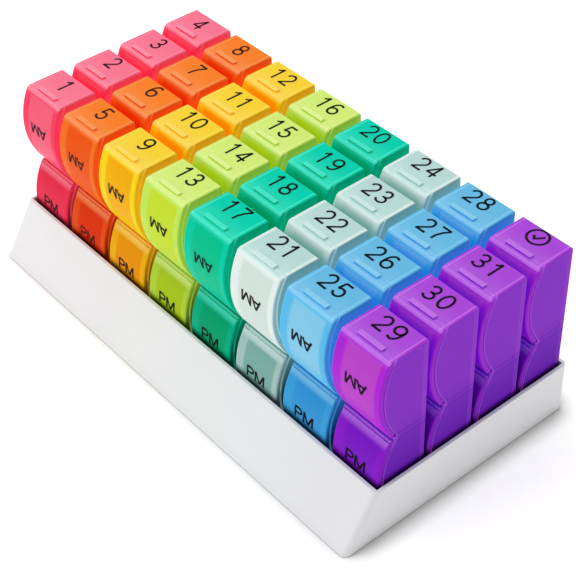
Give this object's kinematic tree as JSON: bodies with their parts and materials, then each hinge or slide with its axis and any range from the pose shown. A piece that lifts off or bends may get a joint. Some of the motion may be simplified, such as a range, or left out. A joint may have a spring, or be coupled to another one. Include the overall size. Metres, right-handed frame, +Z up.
{
  "type": "monthly pill organizer",
  "caption": "Low white tray holding a grid of slim translucent pill boxes, each with a bulging morning lid above its waist and an evening lid below it.",
  "frame": {"origin": "centre of the tray's flat underside", "axes": "+X along the tray from the first column to the last, +Y from the leaning front wall to the rear wall, +Z up"},
  "size_m": [0.2252, 0.1134, 0.0813],
  "materials": {
    "tray_white": "satin moulded, opaque",
    "pink": "frosted translucent moulding",
    "orange": "frosted translucent moulding",
    "yellow": "frosted translucent moulding",
    "lime": "frosted translucent moulding",
    "teal": "frosted translucent moulding",
    "clear": "frosted translucent moulding",
    "blue": "frosted translucent moulding",
    "purple": "frosted translucent moulding"
  },
  "bodies": {
    "tray": {"tray": "tray_white"},
    "day_01": {"day_01_body": "pink"},
    "day_01_am_lid": {"day_01_am_lid": "pink"},
    "day_01_pm_lid": {"day_01_pm_lid": "pink"},
    "day_02": {"day_02_box": "pink"},
    "day_03": {"day_03_box": "pink"},
    "day_04": {"day_04_box": "pink"},
    "day_05": {"day_05_body": "orange"},
    "day_05_am_lid": {"day_05_am_lid": "orange"},
    "day_05_pm_lid": {"day_05_pm_lid": "orange"},
    "day_06": {"day_06_box": "orange"},
    "day_07": {"day_07_box": "orange"},
    "day_08": {"day_08_box": "orange"},
    "day_09": {"day_09_body": "yellow"},
    "day_09_am_lid": {"day_09_am_lid": "yellow"},
    "day_09_pm_lid": {"day_09_pm_lid": "yellow"},
    "day_10": {"day_10_box": "yellow"},
    "day_11": {"day_11_box": "yellow"},
    "day_12": {"day_12_box": "yellow"},
    "day_13": {"day_13_body": "lime"},
    "day_13_am_lid": {"day_13_am_lid": "lime"},
    "day_13_pm_lid": {"day_13_pm_lid": "lime"},
    "day_14": {"day_14_box": "lime"},
    "day_15": {"day_15_box": "lime"},
    "day_16": {"day_16_box": "lime"},
    "day_17": {"day_17_body": "teal"},
    "day_17_am_lid": {"day_17_am_lid": "teal"},
    "day_17_pm_lid": {"day_17_pm_lid": "teal"},
    "day_18": {"day_18_box": "teal"},
    "day_19": {"day_19_box": "teal"},
    "day_20": {"day_20_box": "teal"},
    "day_21": {"day_21_body": "clear"},
    "day_21_am_lid": {"day_21_am_lid": "clear"},
    "day_21_pm_lid": {"day_21_pm_lid": "clear"},
    "day_22": {"day_22_box": "clear"},
    "day_23": {"day_23_box": "clear"},
    "day_24": {"day_24_box": "clear"},
    "day_25": {"day_25_body": "blue"},
    "day_25_am_lid": {"day_25_am_lid": "blue"},
    "day_25_pm_lid": {"day_25_pm_lid": "blue"},
    "day_26": {"day_26_box": "blue"},
    "day_27": {"day_27_box": "blue"},
    "day_28": {"day_28_box": "blue"},
    "day_29": {"day_29_body": "purple"},
    "day_29_am_lid": {"day_29_am_lid": "purple"},
    "day_29_pm_lid": {"day_29_pm_lid": "purple"},
    "day_30": {"day_30_box": "purple"},
    "day_31": {"day_31_box": "purple"},
    "spare": {"spare_box": "purple"}
  },
  "joints": [
    {"name": "day_29_am_hinge", "type": "hinge", "parent": "day_29", "child": "day_29_am_lid", "pos_m": [0.098, -0.03247, 0.045], "axis": [1, 0, 0], "range_deg": [0, 100]},
    {"name": "day_25_am_hinge", "type": "hinge", "parent": "day_25", "child": "day_25_am_lid", "pos_m": [0.07, -0.03247, 0.045], "axis": [1, 0, 0], "range_deg": [0, 100]},
    {"name": "day_21_am_hinge", "type": "hinge", "parent": "day_21", "child": "day_21_am_lid", "pos_m": [0.042, -0.03247, 0.045], "axis": [1, 0, 0], "range_deg": [0, 100]},
    {"name": "day_17_am_hinge", "type": "hinge", "parent": "day_17", "child": "day_17_am_lid", "pos_m": [0.014, -0.03247, 0.045], "axis": [1, 0, 0], "range_deg": [0, 100]},
    {"name": "day_13_am_hinge", "type": "hinge", "parent": "day_13", "child": "day_13_am_lid", "pos_m": [-0.014, -0.03247, 0.045], "axis": [1, 0, 0], "range_deg": [0, 100]},
    {"name": "day_09_am_hinge", "type": "hinge", "parent": "day_09", "child": "day_09_am_lid", "pos_m": [-0.042, -0.03247, 0.045], "axis": [1, 0, 0], "range_deg": [0, 100]},
    {"name": "day_05_am_hinge", "type": "hinge", "parent": "day_05", "child": "day_05_am_lid", "pos_m": [-0.07, -0.03247, 0.045], "axis": [1, 0, 0], "range_deg": [0, 100]},
    {"name": "day_01_am_hinge", "type": "hinge", "parent": "day_01", "child": "day_01_am_lid", "pos_m": [-0.098, -0.03247, 0.045], "axis": [1, 0, 0], "range_deg": [0, 100]},
    {"name": "day_29_lift", "type": "slide", "parent": "tray", "child": "day_29", "axis": [0, 0, 1], "range_m": [0, 0.08]},
    {"name": "day_25_lift", "type": "slide", "parent": "tray", "child": "day_25", "axis": [0, 0, 1], "range_m": [0, 0.08]},
    {"name": "day_21_lift", "type": "slide", "parent": "tray", "child": "day_21", "axis": [0, 0, 1], "range_m": [0, 0.08]},
    {"name": "day_17_lift", "type": "slide", "parent": "tray", "child": "day_17", "axis": [0, 0, 1], "range_m": [0, 0.08]},
    {"name": "day_13_lift", "type": "slide", "parent": "tray", "child": "day_13", "axis": [0, 0, 1], "range_m": [0, 0.08]},
    {"name": "day_09_lift", "type": "slide", "parent": "tray", "child": "day_09", "axis": [0, 0, 1], "range_m": [0, 0.08]},
    {"name": "day_05_lift", "type": "slide", "parent": "tray", "child": "day_05", "axis": [0, 0, 1], "range_m": [0, 0.08]},
    {"name": "day_01_lift", "type": "slide", "parent": "tray", "child": "day_01", "axis": [0, 0, 1], "range_m": [0, 0.08]},
    {"name": "day_29_pm_hinge", "type": "hinge", "parent": "day_29", "child": "day_29_pm_lid", "pos_m": [0.098, -0.03247, 0.0414], "axis": [-1, 0, 0], "range_deg": [0, 3]},
    {"name": "day_25_pm_hinge", "type": "hinge", "parent": "day_25", "child": "day_25_pm_lid", "pos_m": [0.07, -0.03247, 0.0414], "axis": [-1, 0, 0], "range_deg": [0, 3]},
    {"name": "day_21_pm_hinge", "type": "hinge", "parent": "day_21", "child": "day_21_pm_lid", "pos_m": [0.042, -0.03247, 0.0414], "axis": [-1, 0, 0], "range_deg": [0, 3]},
    {"name": "day_17_pm_hinge", "type": "hinge", "parent": "day_17", "child": "day_17_pm_lid", "pos_m": [0.014, -0.03247, 0.0414], "axis": [-1, 0, 0], "range_deg": [0, 3]},
    {"name": "day_13_pm_hinge", "type": "hinge", "parent": "day_13", "child": "day_13_pm_lid", "pos_m": [-0.014, -0.03247, 0.0414], "axis": [-1, 0, 0], "range_deg": [0, 3]},
    {"name": "day_09_pm_hinge", "type": "hinge", "parent": "day_09", "child": "day_09_pm_lid", "pos_m": [-0.042, -0.03247, 0.0414], "axis": [-1, 0, 0], "range_deg": [0, 3]},
    {"name": "day_05_pm_hinge", "type": "hinge", "parent": "day_05", "child": "day_05_pm_lid", "pos_m": [-0.07, -0.03247, 0.0414], "axis": [-1, 0, 0], "range_deg": [0, 3]},
    {"name": "day_01_pm_hinge", "type": "hinge", "parent": "day_01", "child": "day_01_pm_lid", "pos_m": [-0.098, -0.03247, 0.0414], "axis": [-1, 0, 0], "range_deg": [0, 3]},
    {"name": "spare_lift", "type": "slide", "parent": "tray", "child": "spare", "axis": [0, 0, 1], "range_m": [0, 0.08]},
    {"name": "day_31_lift", "type": "slide", "parent": "tray", "child": "day_31", "axis": [0, 0, 1], "range_m": [0, 0.08]},
    {"name": "day_30_lift", "type": "slide", "parent": "tray", "child": "day_30", "axis": [0, 0, 1], "range_m": [0, 0.08]},
    {"name": "day_28_lift", "type": "slide", "parent": "tray", "child": "day_28", "axis": [0, 0, 1], "range_m": [0, 0.08]},
    {"name": "day_27_lift", "type": "slide", "parent": "tray", "child": "day_27", "axis": [0, 0, 1], "range_m": [0, 0.08]},
    {"name": "day_26_lift", "type": "slide", "parent": "tray", "child": "day_26", "axis": [0, 0, 1], "range_m": [0, 0.08]},
    {"name": "day_24_lift", "type": "slide", "parent": "tray", "child": "day_24", "axis": [0, 0, 1], "range_m": [0, 0.08]},
    {"name": "day_23_lift", "type": "slide", "parent": "tray", "child": "day_23", "axis": [0, 0, 1], "range_m": [0, 0.08]},
    {"name": "day_22_lift", "type": "slide", "parent": "tray", "child": "day_22", "axis": [0, 0, 1], "range_m": [0, 0.08]},
    {"name": "day_20_lift", "type": "slide", "parent": "tray", "child": "day_20", "axis": [0, 0, 1], "range_m": [0, 0.08]},
    {"name": "day_19_lift", "type": "slide", "parent": "tray", "child": "day_19", "axis": [0, 0, 1], "range_m": [0, 0.08]},
    {"name": "day_18_lift", "type": "slide", "parent": "tray", "child": "day_18", "axis": [0, 0, 1], "range_m": [0, 0.08]},
    {"name": "day_16_lift", "type": "slide", "parent": "tray", "child": "day_16", "axis": [0, 0, 1], "range_m": [0, 0.08]},
    {"name": "day_15_lift", "type": "slide", "parent": "tray", "child": "day_15", "axis": [0, 0, 1], "range_m": [0, 0.08]},
    {"name": "day_14_lift", "type": "slide", "parent": "tray", "child": "day_14", "axis": [0, 0, 1], "range_m": [0, 0.08]},
    {"name": "day_12_lift", "type": "slide", "parent": "tray", "child": "day_12", "axis": [0, 0, 1], "range_m": [0, 0.08]},
    {"name": "day_11_lift", "type": "slide", "parent": "tray", "child": "day_11", "axis": [0, 0, 1], "range_m": [0, 0.08]},
    {"name": "day_10_lift", "type": "slide", "parent": "tray", "child": "day_10", "axis": [0, 0, 1], "range_m": [0, 0.08]},
    {"name": "day_08_lift", "type": "slide", "parent": "tray", "child": "day_08", "axis": [0, 0, 1], "range_m": [0, 0.08]},
    {"name": "day_07_lift", "type": "slide", "parent": "tray", "child": "day_07", "axis": [0, 0, 1], "range_m": [0, 0.08]},
    {"name": "day_06_lift", "type": "slide", "parent": "tray", "child": "day_06", "axis": [0, 0, 1], "range_m": [0, 0.08]},
    {"name": "day_04_lift", "type": "slide", "parent": "tray", "child": "day_04", "axis": [0, 0, 1], "range_m": [0, 0.08]},
    {"name": "day_03_lift", "type": "slide", "parent": "tray", "child": "day_03", "axis": [0, 0, 1], "range_m": [0, 0.08]},
    {"name": "day_02_lift", "type": "slide", "parent": "tray", "child": "day_02", "axis": [0, 0, 1], "range_m": [0, 0.08]}
  ]
}
